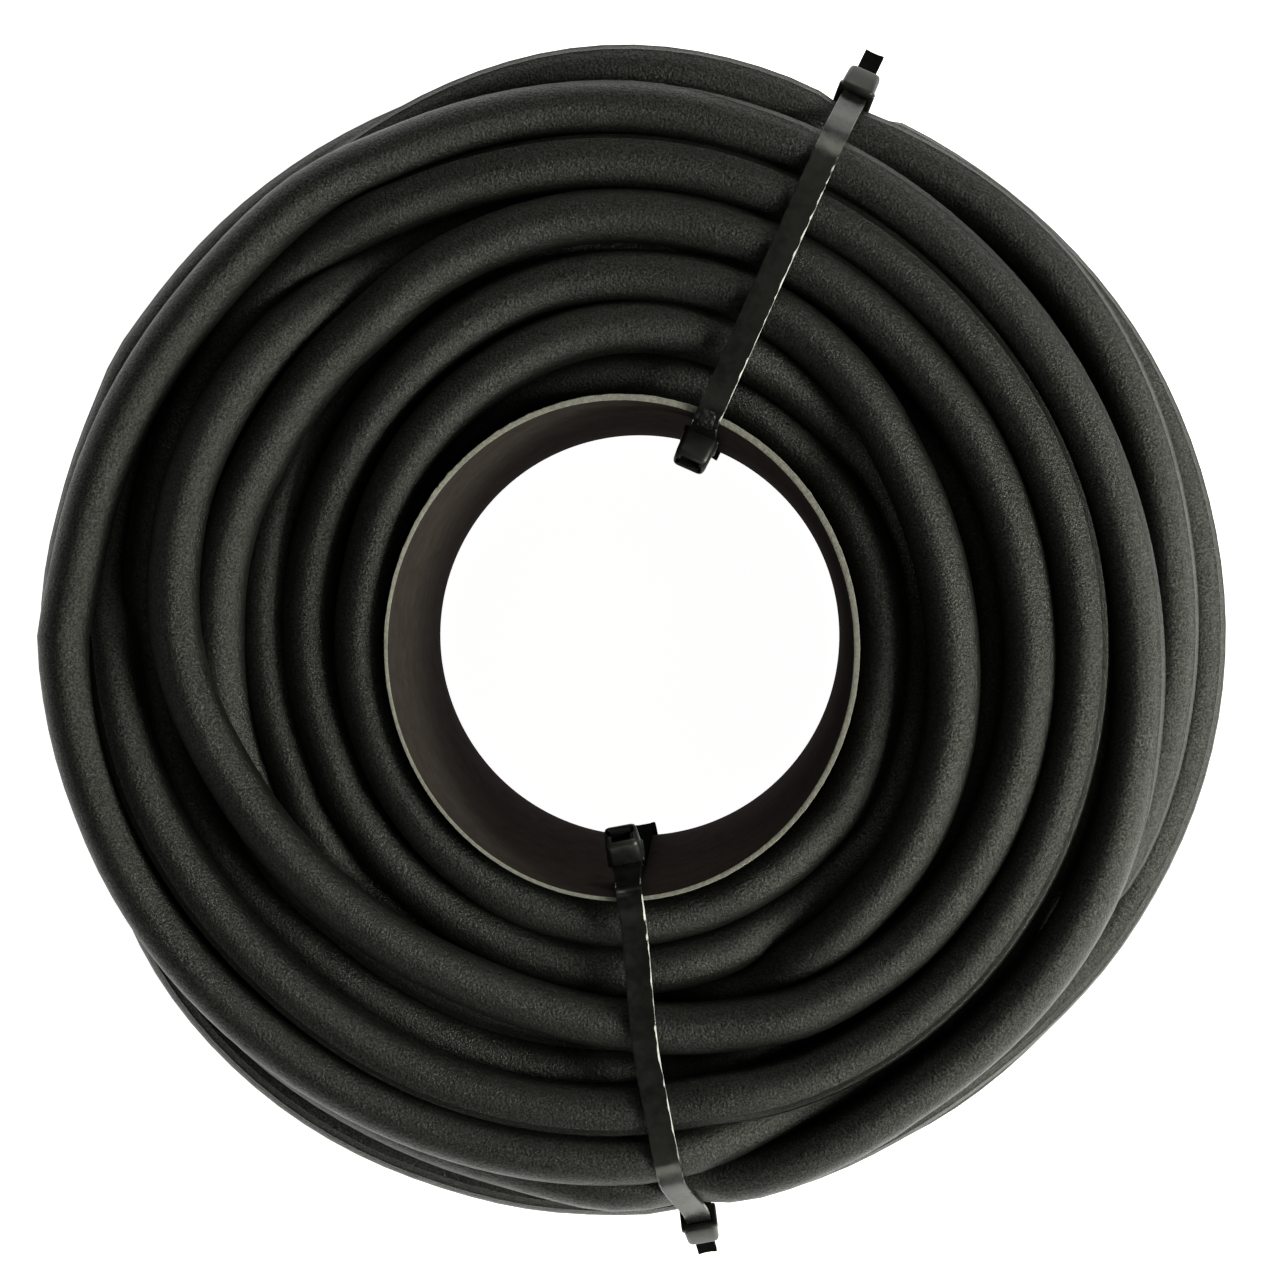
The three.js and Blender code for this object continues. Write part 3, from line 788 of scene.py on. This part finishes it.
BACK_STUB, BACK_TIP = 0.5, 1.2  # a back strap's cut tail outside the head, and its shaped tip
RAIL, LIP, DISH = 0.75, 1.1, 0.2  # a strap's raised edges, the slopes inside them, and their height
EDGE_ROUND = 0.22  # of a strap's two inner edges
TOOTH_SLOPE = 0.7  # share of the pitch over which a tooth rises
TOOTH_MARGIN, TOOTH_LEAN = 1.1, 0.15  # from a strap's edge to its teeth, and the slope beside them
TEETH_START = 14  # distance from the root
NECK = 7  # length over which a strap narrows from its root
SHADE_OUT, SHADE_UP = 80, 102  # inside the tube, nearer the axis and lower than this, straps get painted shade: darker nylon with no reflection
HEAD_BODY = 5.5  # half the width of a head behind its flange
FLANGE = 2.1  # its thickness
HEAD_TAPER = (0.93, 0.88)  # of the width and the height, at the outlet
RECESS_DEPTH, RECESS_HALF_WIDTH, RECESS_LOW, RECESS_HIGH = 0.6, 3.9, -1.6, 4.2


def head_frame(loop, which):
    """A function from a head's own (along the slot, up to its own strap) to the loop's plane."""
    (u, z), tilt = loop[which]
    c, s = math.cos(math.radians(tilt)), math.sin(math.radians(tilt))
    slot, root = ((-c, s), (s, c)) if which == "inner" else ((c, -s), (-s, -c))

    def flat(along, up):
        return np.array([u + slot[0] * along + root[0] * up, z + slot[1] * along + root[1] * up])

    return flat


def stand(loop, u, across, z):
    """A place in a loop's plane, moved to where the loop stands."""
    angle = math.radians(loop["angle"])
    side = loop["offset"] + across
    return np.stack([u * math.cos(angle) - side * math.sin(angle),
                     u * math.sin(angle) + side * math.cos(angle), z + 0 * u], -1)


def strap_points(own, other, between, tail):
    """A strap's middle line, from the root of its own head, through the other's slot, to its tip."""
    half = HEAD_DEPTH / 2
    root = STRAP_THICKNESS / 2 - half
    ends = [other(x, 0) for x in (-half - 1.2, -half, 0, half, half + tail)]
    return [own(root, HEAD_ROOT - 2), own(root, HEAD_ROOT + 0.4), *between, *ends]


def prepare_loops():
    """Each strap's points, and each loop's closed middle line for the hose to press against."""
    for loop in LOOPS.values():
        inner, outer = head_frame(loop, "inner"), head_frame(loop, "outer")
        loop["front"] = strap_points(inner, outer, loop["over"], loop["stub"])
        loop["back"] = strap_points(outer, inner, loop["under"], BACK_STUB)
        front = spline(loop["front"][2:-3], 2.0)
        back = spline(loop["back"][:-5], 2.0)
        loop["line"] = np.vstack([front, back, front[:1]])


def make_strap(name, loop, points, tail, materials):
    """A strap: slightly dished between two rubbed rails outside, toothed inside."""
    line = spline(points, TOOTH_PITCH / 4)
    step = np.gradient(line, axis=0)
    step /= np.linalg.norm(step, axis=1)[:, None]
    back = np.stack([-step[:, 1], step[:, 0]], -1)
    s = np.concatenate([[0], np.cumsum(np.linalg.norm(np.diff(line, axis=0), axis=1))])
    length = s[-1]
    neck = np.clip(1 - (s - 2) / NECK, 0, 1)
    near_tip = np.clip((s - (length - tail - HEAD_DEPTH / 2)) / (HEAD_DEPTH / 2 + 1.5), 0, 1)
    half_width = STRAP_WIDTH / 2 + 0.7 * neck**2 - (STRAP_WIDTH - TAIL_WIDTH) / 2 * near_tip
    half_thick = STRAP_THICKNESS / 2 + 0.35 * neck**2
    tooth = (s / TOOTH_PITCH) % 1
    cut = np.where(tooth < TOOTH_SLOPE, tooth / TOOTH_SLOPE, (1 - tooth) / (1 - TOOTH_SLOPE))
    toothed = np.clip((s - TEETH_START) / 3, 0, 1) * np.clip((length - 1.5 - s) / 1.5, 0, 1)
    teeth = TOOTH_DEPTH * cut * toothed
    dish = DISH * np.clip((s - 8) / 5, 0, 1)
    # How much is rubbed off the outer edge of each rail, unevenly along the strap.
    worn = np.clip(0.26 + 0.5 * smooth(RNG.normal(size=len(s)), 3), 0.08, 0.6)
    w, t = half_width, half_thick
    rail, lip = w - RAIL, w - RAIL - LIP
    tooth_edge, tooth_side = w - TOOTH_MARGIN, w - TOOTH_MARGIN - TOOTH_LEAN
    one = np.ones_like(s)
    section = [  # across, then towards the back
        (EDGE_ROUND - w, -t), (-w, -t + EDGE_ROUND), (-w, t - 0.6 * worn), (worn - w, t),
        (-rail, t), (-lip, t - dish), (lip, t - dish), (rail, t),
        (w - worn, t), (w, t - 0.6 * worn), (w, -t + EDGE_ROUND), (w - EDGE_ROUND, -t),
        (tooth_edge, -t), (tooth_side, -t + teeth), (-tooth_side, -t + teeth), (-tooth_edge, -t),
    ]
    across = np.stack([a * one for a, _ in section], 1) + sideways(loop, line[:, :1], line[:, 1:])
    out = np.stack([b * one for _, b in section], 1)
    u = line[:, :1] + out * back[:, :1]
    z = line[:, 1:] + out * back[:, 1:]
    points = stand(loop, u, across, z).reshape(-1, 3)
    around, count = len(section), len(line)
    faces = tube_faces(count, around).tolist()
    faces += [list(range(around)), list(range(count * around - 1, (count - 1) * around - 1, -1))]
    # Painted shade: inside the tube and along the cut tail, the strap takes the darker nylon that reflects
    # nothing.
    in_tube = (line[:-1, 0] < SHADE_OUT) & (line[:-1, 1] < SHADE_UP)
    shaded = in_tube | (s[:-1] > length - tail + 0.8)
    shaded_faces = np.concatenate([np.repeat(shaded, around), [False, False]])
    strap = make_piece(name, points, faces, materials, face_materials=shaded_faces, sharp=28)
    fix_normals(strap)
    return strap


def block(low, high, radius=0, taper=(1, 1)):
    """A loose box in a head's own mm, with rounded edges, narrowed by taper at its outlet end."""
    mesh = bmesh.new()
    bmesh.ops.create_cube(mesh, size=1)
    low, high = np.array(low), np.array(high)
    for vert in mesh.verts:
        co = (low + high) / 2 + np.array(vert.co) * (high - low)
        if vert.co.x > 0:
            co[1] *= taper[0]
            co[2] *= taper[1]
        vert.co = co
    if radius > 0:
        bmesh.ops.bevel(mesh, geom=mesh.edges[:], offset=radius, segments=3, profile=0.5, affect="EDGES")
    bmesh.ops.recalc_face_normals(mesh, faces=mesh.faces)
    data = bpy.data.meshes.new("block")
    mesh.to_mesh(data)
    mesh.free()
    loose = bpy.data.objects.new("block", data)
    bpy.context.scene.collection.objects.link(loose)
    return loose


def combine(base, others):
    """Joins or cuts loose blocks, given as (operation, block), and gives back the final mesh."""
    for operation, other in others:
        modifier = base.modifiers.new("boolean", "BOOLEAN")
        modifier.operation = operation
        modifier.object = other
        modifier.solver = "EXACT"
    evaluated = base.evaluated_get(bpy.context.evaluated_depsgraph_get())
    result = bpy.data.meshes.new_from_object(evaluated)
    for loose in [base, *(other for _, other in others)]:
        data = loose.data
        bpy.data.objects.remove(loose)
        bpy.data.meshes.remove(data)
    return result


def make_head(name, loop, which, material):
    """A tie head: a rounded block with a flange at the slot's way in and a recess at its way out."""
    half = HEAD_DEPTH / 2
    past = half + 2  # a cut runs out past the head
    flange, slot, cavity = HEAD_WIDTH / 2, SLOT_WIDTH / 2, CAVITY_WIDTH / 2
    mesh = combine(
        block((-half, -HEAD_BODY, -HEAD_FAR), (half, HEAD_BODY, HEAD_ROOT), 1.7, HEAD_TAPER),
        [
            ("UNION", block((-half - 0.05, -flange, -2.7), (-half + FLANGE, flange, 5.6), 0.7)),
            ("DIFFERENCE", block((half - RECESS_DEPTH, -RECESS_HALF_WIDTH, RECESS_LOW),
                                 (past, RECESS_HALF_WIDTH, RECESS_HIGH), 0.3)),
            ("DIFFERENCE", block((-past, -slot, -SLOT_HEIGHT / 2), (past, slot, SLOT_HEIGHT / 2))),
            ("DIFFERENCE", block((half - CAVITY_DEPTH, -cavity, 0), (past, cavity, CAVITY_HEIGHT))),
        ],
    )
    flat = head_frame(loop, which)
    local = np.array([v.co for v in mesh.vertices])
    corner, along, up = flat(0, 0), flat(1, 0) - flat(0, 0), flat(0, 1) - flat(0, 0)
    plane = corner + local[:, :1] * along + local[:, 2:] * up
    points = stand(loop, plane[:, 0], local[:, 1], plane[:, 1])
    faces = [list(p.vertices) for p in mesh.polygons]
    bpy.data.meshes.remove(mesh)
    head = make_piece(name, points, faces, [material], sharp=32)
    fix_normals(head)


def make_gate_mark(name, loop, material):
    """The rough raised pad that the mould's gate leaves on the outer face of a front strap's bend."""
    line = spline(loop["front"], GATE_STEP)
    at = np.argmin(np.hypot(line[:, 0] - GATE[0], line[:, 1] - GATE[1]))
    half = int(GATE_LENGTH / 2 / GATE_STEP)
    line = line[at - half : at + half + 1]
    step = np.gradient(line, axis=0)
    step /= np.linalg.norm(step, axis=1)[:, None]
    back = np.stack([-step[:, 1], step[:, 0]], -1)[:, None, :]
    across = np.arange(-GATE_WIDTH / 2, GATE_WIDTH / 2 + GATE_STEP / 2, GATE_STEP)
    rows, columns = len(line), len(across)
    along = np.linspace(-1, 1, rows)[:, None]
    dome = np.clip(1 - along**4 - (2 * across[None, :] / GATE_WIDTH) ** 4, 0, 1) ** 0.5
    face = STRAP_THICKNESS / 2
    top = face - 0.3 + dome * (0.4 + 0.24 * RNG.normal(size=dome.shape))
    layers = []
    for height in (top, np.full_like(top, face - 0.5)):
        spots = line[:, None, :] + height[..., None] * back
        sides = np.broadcast_to(across[None, :], top.shape)
        layers.append(stand(loop, spots[..., 0], sides, spots[..., 1]).reshape(-1, 3))
    faces = []
    for k in range(rows - 1):
        for j in range(columns - 1):
            a = k * columns + j
            quad = [a, a + 1, a + columns + 1, a + columns]
            faces += [quad, [rows * columns + v for v in reversed(quad)]]
    edge = list(range(columns)) + [k * columns + columns - 1 for k in range(1, rows)]
    edge += [(rows - 1) * columns + j for j in range(columns - 2, -1, -1)]
    edge += [k * columns for k in range(rows - 2, 0, -1)]
    faces += ring_faces(edge, [rows * columns + v for v in edge])
    mark = make_piece(name, np.vstack(layers), faces, [material])
    fix_normals(mark)


def make_ties():
    # The second nylon is darker and reflects nothing: painted shade for the straps inside the tube and the
    # cut tails.
    glossy, shaded = nylon_material("black nylon", 0.2, 0.32), shaded_nylon_material()
    satin = nylon_material("satin nylon", 0.38, 0.5)
    for name, loop in LOOPS.items():
        for side, which, tail in (("front", "inner", loop["stub"]), ("back", "outer", BACK_TIP)):
            strap = make_strap(f"{name}_{side}_strap", loop, loop[side], tail, [glossy, shaded])
            make_head(f"{name}_{side}_head", loop, which, satin)
            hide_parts(f"{name}_{side}_tie")
        if name == "upper":
            make_gate_mark("upper_gate_mark", loop, satin)
        for side in ("front", "back"):
            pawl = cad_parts[f"{name}_{side}_pawl"]
            pawl.data.materials.clear()
            pawl.data.materials.append(satin)


# ---------------------------------------------------------------- the whole

make_camera()
prepare_loops()
make_hose()
make_core()
make_ties()
make_stage()
